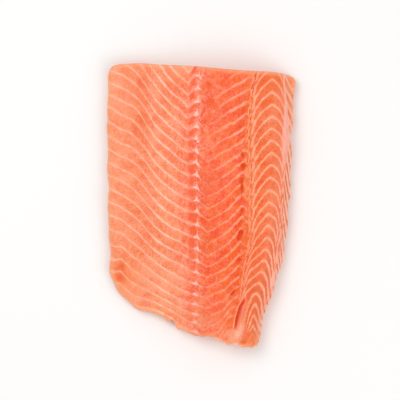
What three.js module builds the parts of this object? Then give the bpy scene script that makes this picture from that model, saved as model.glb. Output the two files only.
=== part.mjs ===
// A raw salmon fillet, skinned, lying flat on its skin side. Millimetres, +Z up.
// +Y is the straight cut end, -Y the collar end behind the head, -X the thin belly, +X the thick back.
// The origin is on the underside, at the middle of the fillet's length and width.

import * as THREE from 'three';

// Landmarks that run the length of the fillet, as [place along Y, place across X]
const BELLY_EDGE = [[123.6, -82], [120, -83.4], [115, -84.2], [104, -84.2], [86, -85], [79, -84.4],
  [71, -85.3], [60, -84.4], [46, -84.2], [34, -84.9], [14, -83.3], [-2, -84.6], [-18, -83.4],
  [-27, -83.8], [-46, -81.8], [-59, -83.2], [-70, -79.2], [-80, -73.8], [-85.5, -67.6], [-89.5, -64],
  [-93.2, -60.2]];
const MIDLINE = [[128, -0.5], [110, -2.3], [60, -4], [0, -3.6], [-40, -3.2], [-70, -4.5], [-128, -4.7]];
const PIN_BONE_LINE = [[128, 40.5], [80, 38.3], [0, 36.9], [-40, 33.8], [-75, 33], [-90, 31], [-103, 27],
  [-128, 22]];
const DORSAL_SEAM = [[120, 48.6], [104, 45], [60, 42.6], [20, 43.7], [-31, 43.7], [-47.5, 40.5],
  [-58, 38.2], [-70, 36.8], [-80, 35.5], [-91.6, 33.4], [-103, 31], [-128, 26]];
const SLIT_LINE = [[128, 49.5], [104, 45.8], [60, 43.4], [20, 44.5], [-31, 44.5], [-60, 42], [-76, 40.7],
  [-82.6, 39.1], [-91.6, 34.8], [-97.9, 32.9], [-101.7, 31.8], [-108.7, 30.9], [-128, 28.5]];
const CHEVRON_TIPS = [[128, 64.2], [50, 64], [-7, 60.3], [-31, 58.3], [-50, 54.9], [-88, 48.6], [-128, 45]];
const FAT_BAND = [[117, 74.3], [80, 76.5], [41, 75.2], [-13, 72], [-67, 64.8], [-103, 53], [-128, 49.3]];
const BACK_EDGE = [[113.6, 84.9], [111, 85.3], [105.5, 84.9], [97, 83.4], [77, 82.6], [62, 81.4],
  [45, 81.2], [23, 80.6], [0, 79.3], [-13, 78.5], [-46, 74.2], [-67, 68.1], [-89, 60.9], [-106, 54.7],
  [-118, 53.5], [-126.4, 51]];

// Shallow scallops along the back edge: they fade out towards the cut end and sink towards the collar
const BACK_SCALLOPS = {
  length: 31.4,
  crest: 44.6,
  height: 0.6,
  setOut: 0.3,
  start: 98,
  full: 80,
  sinkFrom: -70,
  sinkLength: 45,
  least: 0.3,
};

// The two ends, as [place across X, place along Y]; the collar end has a torn notch near X -26
const CUT_END = [[-82, 123.6], [-79.8, 125.6], [-76.5, 126.7], [-71, 127.4], [-55, 128.2], [-37, 126.9],
  [-5, 125], [17, 122.8], [45, 120.7], [66.6, 119.6], [78, 117.5], [82.8, 115.6], [84.9, 113.6]];
const COLLAR_END = [[-60.2, -93.2], [-53, -95.6], [-46, -96.8], [-38.7, -99.6], [-33.3, -101.4],
  [-29.2, -105.2], [-26.2, -103.5], [-24.4, -105.4], [-22.6, -110], [-20.4, -112.3], [-15.5, -112.6],
  [-9.9, -115.8], [-3.6, -117.6], [8, -118.5], [22.5, -125.4], [31, -125.6], [41, -128.2],
  [46.5, -128.3], [51, -126.4]];

// Thickness across the fillet: each row is a place across, then the thickness at each station along Y.
// Place across counts the landmarks: 0 belly, 1 midline, 2 pin bones, 3 seam, 4 tips, 5 fat band, 6 back.
const THICKNESS_STATIONS = [110, 0, -85];
const THICKNESS = [
  [0.00, 11.5, 12.0, 9.5],
  [0.28, 14.5, 14.5, 12.0],
  [0.42, 14.6, 14.7, 12.5],
  [0.65, 18.5, 18.5, 15.5],
  [1.00, 23.5, 24.0, 21.0],
  [1.40, 27.5, 28.5, 26.0],
  [2.00, 30.5, 31.5, 29.0],
  [3.00, 30.5, 31.5, 29.0],
  [4.00, 28.0, 28.5, 26.0],
  [5.00, 21.5, 22.0, 19.5],
  [6.00, 12.5, 13.0, 11.0],
];

// How far each fat sheet is shifted along Y from where it crosses the midline, in rows of the same kind
const SHIFT_STATIONS = [118, 55, -15, -80, -110];
const SHEET_SHIFT = [
  [0.00, 62.0, 58.5, 50.5, 33.0, 30.0],
  [0.15, 57.5, 51.5, 46.5, 31.5, 28.0],
  [0.28, 50.0, 48.0, 40.0, 24.3, 22.0],
  [0.45, 32.0, 34.5, 27.5, 19.8, 21.0],
  [0.63, 13.5, 16.5, 14.0, 11.2, 18.0],
  [0.81, -1.5, 4.0, 6.0, 3.0, 5.5],
  [0.89, -7.0, -1.0, 2.5, 0.3, 1.5],
  [1.00, 1.0, 1.5, 1.0, -2.0, -1.0],
  [1.10, -4.0, -5.5, -2.0, -3.5, -3.0],
  [1.25, -6.5, -10.5, -6.5, -4.0, -8.0],
  [1.45, -6.5, -4.0, -2.0, -0.5, -3.5],
  [1.70, 0.0, 1.0, 4.5, 2.5, -1.0],
  [1.90, 4.5, 6.0, 14.0, 11.5, 12.0],
  [2.50, 10.0, 11.0, 16.0, 14.0, 12.0],
  [3.00, 8.5, 6.0, 9.5, 9.5, 2.0],
  [3.35, 20.0, 17.0, 18.0, 18.0, 4.0],
  [3.75, 27.5, 28.0, 27.0, 24.0, 14.0],
  [4.00, 31.0, 32.5, 32.5, 26.0, 21.0],
  [4.30, 28.0, 29.5, 30.0, 23.0, 17.0],
  [4.60, 25.0, 26.0, 27.5, 18.5, 14.5],
  [5.00, 15.5, 14.0, 11.0, 6.0, 11.0],
  [5.50, 8.5, 3.0, -5.5, -1.0, 6.5],
  [6.00, 1.5, -8.0, -17.5, -12.0, 2.0],
];
const BELLY_REACH = 81;
const FRINGE_WIDTH = 6.5;

// The sheets: the first one's place on the midline, their pitch, and how the pitch closes up at the collar
const FIRST_SHEET = 115.4;
const SHEET_PITCH = 11.13;
const CLOSING_FROM = 133.4;
const CLOSING_RATE = 0.0337;

// Relief of the flesh
const FLAKE_RISE = 0.6;
const FLAKE_LEAN = 0.75;
const SWELL = { height: 0.35, length: 47, slant: 0.4, crossing: 0.8, counterSlant: -0.5, lag: 1.3 };
const PIN_GROOVE = { depth: 0.9, width: 2.6, from: -60, to: 50, fade: 20 };
const PIN_HOLE = { depth: 1.7, width: 1.4 };
const SLIT = {
  depth: 4.2, from: -112, to: -82, steepSide: 1.2, slopingSide: 6.5, floor: 1.4, fullness: 0.7, hollow: 1.7,
};

// The holes that the pin bones left, as [place along Y, half length]
const PIN_HOLES = [[45.6, 2.5], [34.6, 3.2], [20.5, 4.6], [5.5, 4.5], [-4.3, 3], [-14.8, 2.4], [-26.5, 4],
  [-38.5, 2], [-49, 2]];

// Rounding of the rim: how far in from each edge it starts, and how far it falls
const BELLY_RIM = { reach: 4.5, fall: 5.5 };
const BACK_RIM = { reach: 3, fall: 4 };
const CUT_RIM = { reach: 2, fall: 1.5 };
const COLLAR_RIM = { reach: 3, fall: 3.5 };
const RIM_STEPS = [0, 0.13, 0.45, 1];

// The side walls, from the rim down to the underside: [share of the rim's height, how far it tucks in]
const WALL_LEVELS = [[0.42, 0], [0.12, 0.5], [0, 1.8]];
const HALF_WIDTH = 84.6;
const HALF_LENGTH = 128.2;

// Fineness of the surface: strips of the surface between landmarks, rows to a sheet pitch
const BELLY_STRIPS = 15;
const LOIN_STRIPS = 8;
const BACK_STRIPS = 4;
const BAND_STRIPS = 3;
const PIN_STRIPS = 2;
const SLIT_BANK_STRIPS = 3;
const ROWS_TO_A_SHEET = 4;
const LEAST_GAP = 1;

// How finely the meetings of curves are worked out
const SETTLING_STEPS = 60;
const SETTLING_RATE = 0.7;
const HALVING_STEPS = 40;
const COLLAR_START = -110;
const CUT_START = 120;
const SHEET_TOLERANCE = 1e-6;

const clamp = THREE.MathUtils.clamp;
const mix = THREE.MathUtils.lerp;

// A smooth curve through [place, value] stations that never overshoots them
function smoothCourse(stations) {
  const points = [...stations].sort((a, b) => a[0] - b[0]);
  const last = points.length - 1;
  const rise = (i) => (points[i + 1][1] - points[i][1]) / (points[i + 1][0] - points[i][0]);
  const slopes = points.map((point, i) => {
    if (i === 0) return rise(0);
    if (i === last) return rise(last - 1);
    const before = rise(i - 1);
    const after = rise(i);
    if (before * after <= 0) return 0;
    return 2 / (1 / before + 1 / after);
  });
  return (place) => {
    const at = clamp(place, points[0][0], points[last][0]);
    let i = 0;
    while (i < last - 1 && at > points[i + 1][0]) i += 1;
    const length = points[i + 1][0] - points[i][0];
    const t = (at - points[i][0]) / length;
    const u = 1 - t;
    const ends = points[i][1] * u * u * (1 + 2 * t) + points[i + 1][1] * t * t * (3 - 2 * t);
    return ends + length * t * u * (slopes[i] * u - slopes[i + 1] * t);
  };
}

const bellyEdge = smoothCourse(BELLY_EDGE);
const midline = smoothCourse(MIDLINE);
const pinBoneLine = smoothCourse(PIN_BONE_LINE);
const dorsalSeam = smoothCourse(DORSAL_SEAM);
const slitLine = smoothCourse(SLIT_LINE);
const chevronTips = smoothCourse(CHEVRON_TIPS);
const fatBand = smoothCourse(FAT_BAND);
const backCourse = smoothCourse(BACK_EDGE);
const cutEnd = smoothCourse(CUT_END);
const collarEnd = smoothCourse(COLLAR_END);

// The edge along the back, with its scallops
function backEdge(y) {
  const risen = clamp((BACK_SCALLOPS.start - y) / (BACK_SCALLOPS.start - BACK_SCALLOPS.full), 0, 1);
  const sunk = clamp(1 + (y - BACK_SCALLOPS.sinkFrom) / BACK_SCALLOPS.sinkLength, BACK_SCALLOPS.least, 1);
  const wave = Math.cos(2 * Math.PI * (y - BACK_SCALLOPS.crest) / BACK_SCALLOPS.length);
  return backCourse(y) + risen * sunk * (BACK_SCALLOPS.setOut + BACK_SCALLOPS.height * wave);
}

// A value given by rows across the fillet, with one column for each station along Y
function profileAlong(stations, rows) {
  const courses = stations.map((_, k) => smoothCourse(rows.map((row) => [row[0], row[k + 1]])));
  const last = stations.length - 1;
  return (place, y) => {
    const at = clamp(y, stations[last], stations[0]);
    let k = 0;
    while (k < last - 1 && at < stations[k + 1]) k += 1;
    const share = (at - stations[k]) / (stations[k + 1] - stations[k]);
    return mix(courses[k](place), courses[k + 1](place), share);
  };
}

const thicknessAt = profileAlong(THICKNESS_STATIONS, THICKNESS);
const sheetShiftAt = profileAlong(SHIFT_STATIONS, SHEET_SHIFT);

// Place across the fillet, counted in landmarks
function placeAcross(x, y) {
  const middle = midline(y);
  const band = fatBand(y);
  const marks = [middle - BELLY_REACH, middle, pinBoneLine(y), dorsalSeam(y), chevronTips(y), band,
    band + FRINGE_WIDTH];
  let place = 0;
  for (let k = 0; k < marks.length - 1; k += 1) {
    place += clamp((x - marks[k]) / (marks[k + 1] - marks[k]), 0, 1);
  }
  return place;
}

// Number of fat sheets passed from the cut end: a whole number on each sheet
function sheetCount(x, y) {
  const onMidline = y - sheetShiftAt(placeAcross(x, y), y);
  const run = FIRST_SHEET - onMidline;
  if (run <= CLOSING_FROM) return run / SHEET_PITCH;
  const beyond = (run - CLOSING_FROM) / SHEET_PITCH;
  return CLOSING_FROM / SHEET_PITCH - Math.log(1 - CLOSING_RATE * beyond) / CLOSING_RATE;
}

const bell = (distance, width) => Math.exp(-((distance / width) ** 2));

// Each flake of muscle swells between two sheets and leans a little over the next one
function flakeRelief(x, y) {
  const count = sheetCount(x, y);
  const share = count - Math.floor(count + SHEET_TOLERANCE);
  return FLAKE_RISE * Math.sin(Math.PI * clamp(share, 0, 1) ** FLAKE_LEAN);
}

// Slow rise and fall of the soft flesh
function swellRelief(x, y) {
  const turns = (2 * Math.PI) / SWELL.length;
  const first = Math.sin(turns * (x + SWELL.slant * y));
  const second = Math.sin(turns * (SWELL.crossing * y + SWELL.counterSlant * x) + SWELL.lag);
  return SWELL.height * (first + second);
}

// The row of small holes left by the pin bones, in a shallow groove
function pinBoneRelief(x, y) {
  const aside = x - pinBoneLine(y);
  const before = clamp((y - PIN_GROOVE.from) / PIN_GROOVE.fade, 0, 1);
  const after = clamp((PIN_GROOVE.to - y) / PIN_GROOVE.fade, 0, 1);
  let depth = PIN_GROOVE.depth * bell(aside, PIN_GROOVE.width) * before * after;
  for (const [along, halfLength] of PIN_HOLES) {
    depth += PIN_HOLE.depth * bell(aside, PIN_HOLE.width) * bell(y - along, halfLength);
  }
  return -depth;
}

// The open slit beside the seam at the collar end: steep towards the belly, sloping towards the back
function slitRelief(x, y) {
  const along = clamp((y - SLIT.from) / (SLIT.to - SLIT.from), 0, 1);
  const aside = x - slitLine(y);
  const floor = SLIT.floor * Math.sin(Math.PI * along);
  const steep = clamp(1 + aside / SLIT.steepSide, 0, 1);
  const sloping = clamp((SLIT.slopingSide - aside) / (SLIT.slopingSide - floor), 0, 1);
  return -SLIT.depth * Math.sin(Math.PI * along) ** SLIT.fullness * steep * sloping ** SLIT.hollow;
}

// How far a rounded rim has fallen, at a given distance in from its edge
function rimFall(rim, distance) {
  const share = 1 - clamp(distance / rim.reach, 0, 1);
  return rim.fall * (1 - Math.sqrt(1 - share * share));
}

function surfaceHeight(x, y) {
  let height = thicknessAt(placeAcross(x, y), y);
  height += flakeRelief(x, y) + swellRelief(x, y) + pinBoneRelief(x, y) + slitRelief(x, y);
  height -= rimFall(BELLY_RIM, x - bellyEdge(y));
  height -= rimFall(BACK_RIM, backEdge(y) - x);
  height -= rimFall(CUT_RIM, cutEnd(x) - y);
  height -= rimFall(COLLAR_RIM, y - collarEnd(x));
  return height;
}

// Lines that run from the collar end to the cut end, each a function of Y that gives X
function lengthwiseLines() {
  const bellyRim = (y) => bellyEdge(y) + BELLY_RIM.reach;
  const backRim = (y) => backEdge(y) - BACK_RIM.reach;
  const bandInside = (y) => Math.min(fatBand(y), backRim(y) - LEAST_GAP);
  const slitLip = (y) => slitLine(y) - SLIT.steepSide;
  const slitBank = (y) => slitLine(y) + SLIT.slopingSide;
  const lines = RIM_STEPS.map((share) => (y) => mix(bellyEdge(y), bellyRim(y), share));
  const addStrips = (from, to, strips) => {
    for (let k = 1; k <= strips; k += 1) {
      lines.push((y) => mix(from(y), to(y), k / strips));
    }
  };
  addStrips(bellyRim, midline, BELLY_STRIPS);
  addStrips(midline, pinBoneLine, LOIN_STRIPS);
  addStrips(pinBoneLine, slitLip, PIN_STRIPS);
  addStrips(slitLip, slitLine, 1);
  addStrips(slitLine, slitBank, SLIT_BANK_STRIPS);
  addStrips(slitBank, chevronTips, BACK_STRIPS);
  addStrips(chevronTips, bandInside, BAND_STRIPS);
  addStrips(bandInside, backRim, 1);
  [...RIM_STEPS].reverse().slice(1).forEach((share) => {
    lines.push((y) => mix(backEdge(y), backRim(y), share));
  });
  return lines;
}

// Where a lengthwise line meets a curve across the fillet
function meeting(line, acrossCurve, start) {
  let y = start;
  for (let step = 0; step < SETTLING_STEPS; step += 1) {
    y = mix(y, acrossCurve(line(y)), SETTLING_RATE);
  }
  return y;
}

// Places along one lengthwise line: both rims, and rows on the sheets and between them
function placesAlong(line) {
  const low = RIM_STEPS.map((share) => {
    const curve = (x) => collarEnd(x) + share * COLLAR_RIM.reach;
    return meeting(line, curve, COLLAR_START);
  });
  const high = RIM_STEPS.map((share) => {
    const curve = (x) => cutEnd(x) - share * CUT_RIM.reach;
    return meeting(line, curve, CUT_START);
  });
  high.reverse();
  const bottom = low[low.length - 1];
  const top = high[0];
  const countAt = (y) => sheetCount(line(y), y);
  const rows = [];
  const first = Math.ceil(countAt(top) * ROWS_TO_A_SHEET);
  const last = Math.floor(countAt(bottom) * ROWS_TO_A_SHEET);
  for (let k = last; k >= first; k -= 1) {
    let under = bottom;
    let over = top;
    for (let step = 0; step < HALVING_STEPS; step += 1) {
      const y = (under + over) / 2;
      if (countAt(y) * ROWS_TO_A_SHEET > k) under = y;
      else over = y;
    }
    if (under > bottom + LEAST_GAP && under < top - LEAST_GAP) rows.push({ y: under, mark: -k });
  }
  return [
    ...low.map((y) => ({ y, mark: -countAt(y) * ROWS_TO_A_SHEET })),
    ...rows,
    ...high.map((y) => ({ y, mark: -countAt(y) * ROWS_TO_A_SHEET })),
  ];
}

const positions = [];
const faces = [];

function addVertex(x, y, z) {
  positions.push(x, y, z);
  return positions.length / 3 - 1;
}

// Triangles between two neighbouring lines of vertices, whichever has the nearer next mark going first
function stitch(left, right) {
  let i = 0;
  let k = 0;
  while (i < left.length - 1 || k < right.length - 1) {
    const leftEnded = i === left.length - 1;
    const rightEnded = k === right.length - 1;
    if (rightEnded || (!leftEnded && left[i + 1].mark <= right[k + 1].mark)) {
      faces.push(left[i].id, right[k].id, left[i + 1].id);
      i += 1;
    } else {
      faces.push(left[i].id, right[k].id, right[k + 1].id);
      k += 1;
    }
  }
}

function buildTopSurface() {
  const columns = lengthwiseLines().map((line) => placesAlong(line).map(({ y, mark }) => {
    const x = line(y);
    return { x, y, mark, id: addVertex(x, y, surfaceHeight(x, y)) };
  }));
  const rim = RIM_STEPS.length - 1;
  for (let c = 0; c < columns.length - 1; c += 1) {
    const left = columns[c];
    const right = columns[c + 1];
    for (let r = 0; r < rim; r += 1) {
      stitch(left.slice(r, r + 2).map((v, k) => ({ ...v, mark: k })),
        right.slice(r, r + 2).map((v, k) => ({ ...v, mark: k })));
    }
    stitch(left.slice(rim, left.length - rim), right.slice(rim, right.length - rim));
    for (let r = rim; r > 0; r -= 1) {
      stitch(left.slice(left.length - r - 1, left.length - r + 1).map((v, k) => ({ ...v, mark: k })),
        right.slice(right.length - r - 1, right.length - r + 1).map((v, k) => ({ ...v, mark: k })));
    }
  }
  return columns;
}

// The top surface's edge, clockwise seen from above
function edgeOf(columns) {
  const last = columns.length - 1;
  const between = columns.slice(1, last);
  return [
    ...columns[0],
    ...between.map((column) => column[column.length - 1]),
    ...[...columns[last]].reverse(),
    ...between.map((column) => column[0]).reverse(),
  ];
}

// Side walls that go down from the edge, and the flat underside that closes them
function buildWallsAndUnderside(edge) {
  const count = edge.length;
  let upper = edge.map((point) => point.id);
  let ring = [];
  for (const [share, tuck] of WALL_LEVELS) {
    ring = edge.map((point) => ({
      x: point.x * (1 - tuck / HALF_WIDTH),
      y: point.y * (1 - tuck / HALF_LENGTH),
      z: positions[3 * point.id + 2] * share,
    }));
    const lower = ring.map(({ x, y, z }) => addVertex(x, y, z));
    for (let i = 0; i < count; i += 1) {
      const next = (i + 1) % count;
      faces.push(upper[i], upper[next], lower[next], upper[i], lower[next], lower[i]);
    }
    upper = lower;
  }
  const outline = ring.map(({ x, y }) => new THREE.Vector2(x, y));
  for (const [a, b, c] of THREE.ShapeUtils.triangulateShape(outline, [])) {
    const turn = outline[b].clone().sub(outline[a]).cross(outline[c].clone().sub(outline[a]));
    const corners = turn < 0 ? [a, b, c] : [a, c, b];
    faces.push(...corners.map((corner) => upper[corner]));
  }
}

function buildFillet() {
  buildWallsAndUnderside(edgeOf(buildTopSurface()));
  const geometry = new THREE.BufferGeometry();
  geometry.setAttribute('position', new THREE.Float32BufferAttribute(positions, 3));
  geometry.setIndex(faces);
  geometry.computeBoundingBox();
  const middle = geometry.boundingBox.getCenter(new THREE.Vector3());
  geometry.translate(-middle.x, -middle.y, 0);
  geometry.computeVertexNormals();
  const flesh = new THREE.MeshStandardMaterial({ color: 0xf6855a, roughness: 0.32, metalness: 0 });
  const fillet = new THREE.Mesh(geometry, flesh);
  fillet.name = 'salmon_fillet';
  return fillet;
}

const group = new THREE.Group();
group.add(buildFillet());

export default group;
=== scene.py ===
import math

import bpy
import numpy as np
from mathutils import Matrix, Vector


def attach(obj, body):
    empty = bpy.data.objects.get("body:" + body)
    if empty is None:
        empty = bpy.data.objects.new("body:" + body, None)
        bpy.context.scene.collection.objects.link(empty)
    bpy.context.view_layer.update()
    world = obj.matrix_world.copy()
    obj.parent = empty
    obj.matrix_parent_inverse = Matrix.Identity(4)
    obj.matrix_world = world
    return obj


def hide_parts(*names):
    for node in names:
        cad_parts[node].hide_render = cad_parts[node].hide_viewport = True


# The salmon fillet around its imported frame. The form is worked out in millimetres and set down in metres.
# +Y is the straight cut end, -Y the collar end behind the head, -X the thin belly, +X the thick back.

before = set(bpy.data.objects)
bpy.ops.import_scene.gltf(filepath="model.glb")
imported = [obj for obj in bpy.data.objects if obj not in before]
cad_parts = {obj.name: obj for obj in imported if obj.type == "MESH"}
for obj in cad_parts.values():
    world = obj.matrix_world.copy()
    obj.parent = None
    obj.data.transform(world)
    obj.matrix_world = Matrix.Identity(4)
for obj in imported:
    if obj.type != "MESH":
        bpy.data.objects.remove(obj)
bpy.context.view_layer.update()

MM = 0.001
OUTLINE_MIDDLE = (0.0, -0.05)

# Landmarks that run the length of the fillet, as (place along Y, place across X)
BELLY_EDGE = [(123.6, -82), (120, -83.4), (115, -84.2), (104, -84.2), (86, -85), (79, -84.4),
              (71, -85.3), (60, -84.4), (46, -84.2), (34, -84.9), (14, -83.3), (-2, -84.6), (-18, -83.4),
              (-27, -83.8), (-46, -81.8), (-59, -83.2), (-70, -79.2), (-80, -73.8), (-85.5, -67.6),
              (-89.5, -64), (-93.2, -60.2)]
MIDLINE = [(128, -0.5), (110, -2.3), (60, -4), (0, -3.6), (-40, -3.2), (-70, -4.5), (-128, -4.7)]
PIN_BONE_LINE = [(128, 40.5), (80, 38.3), (0, 36.9), (-40, 33.8), (-75, 33), (-90, 31), (-103, 27),
                 (-128, 22)]
DORSAL_SEAM = [(120, 48.6), (104, 45), (60, 42.6), (20, 43.7), (-31, 43.7), (-47.5, 40.5), (-58, 38.2),
               (-70, 36.8), (-80, 35.5), (-91.6, 33.4), (-103, 31), (-128, 26)]
SLIT_LINE = [(128, 49.5), (104, 45.8), (60, 43.4), (20, 44.5), (-31, 44.5), (-60, 42), (-76, 40.7),
             (-82.6, 39.1), (-91.6, 34.8), (-97.9, 32.9), (-101.7, 31.8), (-108.7, 30.9), (-128, 28.5)]
CHEVRON_TIPS = [(128, 64.2), (50, 64), (-7, 60.3), (-31, 58.3), (-50, 54.9), (-88, 48.6), (-128, 45)]
FAT_BAND = [(117, 74.3), (80, 76.6), (62, 76.4), (41, 75.2), (-13, 72), (-67, 64.8), (-103, 53),
            (-128, 49.3)]
FAT_BAND_HALF_WIDTH = [(118, 0.8), (100, 0.9), (93, 1.2), (84, 1.7), (76, 2.5), (62, 3.6), (50, 3.3),
                       (38, 1.9), (25, 1.2), (0, 1.4), (-20, 2.6), (-35, 2.6), (-52, 1), (-59, 1.1),
                       (-69, 2), (-73, 1.4), (-76, 0.2)]
BACK_EDGE = [(113.6, 84.9), (111, 85.3), (105.5, 84.9), (97, 83.4), (77, 82.6), (62, 81.4), (45, 81.2),
             (23, 80.6), (0, 79.3), (-13, 78.5), (-46, 74.2), (-67, 68.1), (-89, 60.9), (-106, 54.7),
             (-118, 53.5), (-126.4, 51)]

# Shallow scallops along the back edge: they fade out towards the cut end and sink towards the collar
BACK_SCALLOPS = {"length": 31.4, "crest": 44.6, "height": 0.6, "set_out": 0.3, "start": 98, "full": 80,
                 "sink_from": -70, "sink_length": 45, "least": 0.3}

# The two ends, as (place across X, place along Y)
CUT_END = [(-82, 123.6), (-79.8, 125.6), (-76.5, 126.7), (-71, 127.4), (-55, 128.2), (-37, 126.9),
           (-5, 125), (17, 122.8), (45, 120.7), (66.6, 119.6), (78, 117.5), (82.8, 115.6), (84.9, 113.6)]
COLLAR_END = [(-60.2, -93.2), (-53, -95.6), (-46, -96.8), (-38.7, -99.6), (-33.3, -101.4),
              (-29.2, -105.2), (-26.2, -103.5), (-24.4, -105.4), (-22.6, -110), (-20.4, -112.3),
              (-15.5, -112.6), (-9.9, -115.8), (-3.6, -117.6), (8, -118.5), (16.5, -121.6),
              (22.5, -125.4), (31, -125.6), (41, -128.2), (46.5, -128.3), (51, -126.4)]

# Thickness across the fillet: (place across, at the cut end, at the middle, at the collar end).
# Place across counts the landmarks: 0 belly, 1 midline, 2 pin bones, 3 seam, 4 tips, 5 fat band, 6 back.
LAST_PLACE = 6
THICKNESS = [
    (0, 11.5, 12, 9.5), (0.28, 14.5, 14.5, 12), (0.42, 14.6, 14.7, 12.5), (0.65, 18.5, 18.5, 15.5),
    (1, 23.5, 24, 21), (1.4, 27.5, 28.5, 26), (2, 30.5, 31.5, 29), (3, 30.5, 31.5, 29),
    (4, 28, 28.5, 26), (5, 21.5, 22, 19.5), (6, 12.5, 13, 11),
]

# How far each fat sheet is shifted along Y from where it crosses the midline. Each row is a place across,
# then the shift at each of these stations along Y.
SHIFT_STATIONS = (118, 88, 55, 20, -15, -50, -80, -110)
SHEET_SHIFT = [
    (0, 62, 63, 58.5, 56.5, 50.5, 39.5, 33, 30),
    (0.09, 59.3, 59.1, 54.3, 53.2, 48, 37.5, 32, 29),
    (0.15, 57.5, 56.5, 51.5, 51, 46.5, 39, 31.5, 28),
    (0.28, 50, 52, 48, 45.5, 40, 31.5, 24.3, 22),
    (0.36, 43, 46, 43, 40, 35.5, 28.3, 21.8, 20.5),
    (0.45, 32, 35, 34.5, 31.5, 27.5, 22.6, 19.8, 21),
    (0.54, 23.5, 23.5, 23.5, 22.5, 20, 17.4, 16, 21.5),
    (0.63, 13.5, 17, 16.5, 15.5, 14, 13.4, 11.2, 18),
    (0.72, 5.5, 8.5, 11, 10, 9.5, 9.6, 6.9, 13),
    (0.81, -1.5, 3.5, 4, 4.5, 6, 6.6, 3, 5.5),
    (0.89, -7, -4.5, -1, 1, 2.5, 3.3, 0.3, 1.5),
    (0.94, 1, -1.5, 0, 0, 1, 0.5, -1.3, -0.5),
    (1, 1, 0, 1.5, 1, 1, 0, -2, -1),
    (1.1, -4, 0.5, -5.5, -4.5, -2, -3, -3.5, -3),
    (1.25, -6.5, -9, -10.5, -8, -6.5, -5.5, -4, -8),
    (1.45, -6.5, -6.5, -4, -4.5, -2, -2, -0.5, -3.5),
    (1.7, 0, 2, 1, 3, 4.5, 3.5, 2.5, -1),
    (1.9, 4.5, 6, 6, 12, 14, 10.5, 11.5, 12),
    (2.05, 8.5, 10.5, 11.5, 16.5, 21, 16, 15.5, 14.5),
    (2.5, 10, 11.5, 11, 11, 16, 13, 14, 12),
    (2.98, 11, 10.5, 9, 10.5, 13.5, 12.5, 12.5, 11),
    (3.06, 6, 3, 1.5, 3, 3.5, 4.5, 4, -28),
    (3.15, 9.5, 8, 6.5, 7.5, 7.5, 8.5, 8, -25),
    (3.24, 15, 14.5, 13, 14.5, 13.5, 13.5, 12, -18.5),
    (3.35, 20, 18, 17, 17.5, 18, 19.5, 18, -12.5),
    (3.5, 23.5, 23, 22.5, 22.5, 22.5, 21.5, 20.5, -5),
    (3.75, 27.5, 27.5, 28, 29, 27, 24.5, 24, 8.5),
    (3.9, 30.5, 30, 31.5, 31.5, 30.5, 27, 25, 17),
    (4, 31, 31, 32.5, 32, 32.5, 29, 26, 21),
    (4.1, 30.5, 30, 31.5, 31.5, 32, 29, 24.5, 19),
    (4.3, 28, 28.5, 29.5, 29.5, 30, 28, 23, 17),
    (4.6, 25, 24.5, 26, 26.5, 27.5, 22, 18.5, 14.5),
    (5, 15.5, 12, 14, 12, 11, 4.5, 6, 11),
    (5.5, 8.5, 5, 3, -3, -5.5, -6.5, -1, 6.5),
    (6, 1.5, -2, -8, -15, -17.5, -21.5, -12, 2),
]

# The shift is averaged this far to either side, so that the sheets bend softly
BEND_REACH = 0.9

# How far from the midline the first fat lines of the loin show, as (place along Y, reach)
FIRST_LINE_REACH = [(125, 33), (115, 28), (104, 23), (95, 14), (85, 14), (73, 9.5), (64, 10), (52, 6),
                    (40, -6)]

# Widths of the belly and of the fringe beyond the fat band, over which places across are counted
BELLY_REACH = 81
FRINGE_WIDTH = 6.5

# Where along Y the thicknesses of the two ends hold
CUT_STATION = 110
COLLAR_STATION = -85

# The fat sheets: the first one's place on the midline, their pitch, how it closes up towards the collar,
# and how far the sheets lean down the walls
FIRST_SHEET = 115.4
SHEET_PITCH = 11.13
CLOSING_FROM = 133.4
CLOSING_RATE = 0.0337
SHEET_LEAN = 0.055

# Relief of the flesh
FLAKE_STEP = 0.4
SWELL = 0.35
SWELL_LENGTH = 47
PIN_GROOVE = {"depth": 0.9, "width": 2.6, "from": -60, "to": 50, "fade": 20}
SLIT = {"depth": 4.2, "from": -112, "to": -82, "steep_side": 1.2, "sloping_side": 6.5, "floor": 1.4}

# Pin-bone holes, and three pits at the torn corner:
# (place along Y, aside from the pin-bone line, half length, half width, depth, slant)
PIN_HOLES = [
    (78.4, -0.1, 1.5, 1.4, 0.8, 0), (56.2, -0.3, 1.6, 1.4, 0.9, 0), (45.6, -0.4, 2.5, 2, 1.6, -0.2),
    (35.8, 0.2, 1.9, 2.7, 1.8, 0.1), (33, 0.1, 3.2, 1.4, 1.1, 0), (21.5, -0.9, 4.6, 0.9, 1.7, 0),
    (14.5, -0.5, 4.6, 1.1, 1.7, 0), (5.5, -0.2, 4.5, 1.2, 0.9, -0.2), (-4.3, 0.4, 3, 1.4, 1.4, -0.5),
    (-14.8, 0.1, 2.4, 1.5, 1.1, -0.4), (-24.3, 0.9, 2.2, 2.4, 2, 0.1),
    (-28.6, -0.2, 3.6, 1.5, 1.8, 0.25), (-38.5, 0.8, 2, 1.5, 0.9, 0), (-49, 0.6, 2, 2.3, 1.7, 0),
    (-78.4, -4.4, 3.5, 1.3, 1.7, 0.65), (-116.6, 18.4, 4.4, 2.3, 1, 0.15), (-123, 15.2, 2.4, 3.2, 1, 0),
    (-124.6, 24.7, 2, 2.8, 0.9, 0),
]

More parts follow.
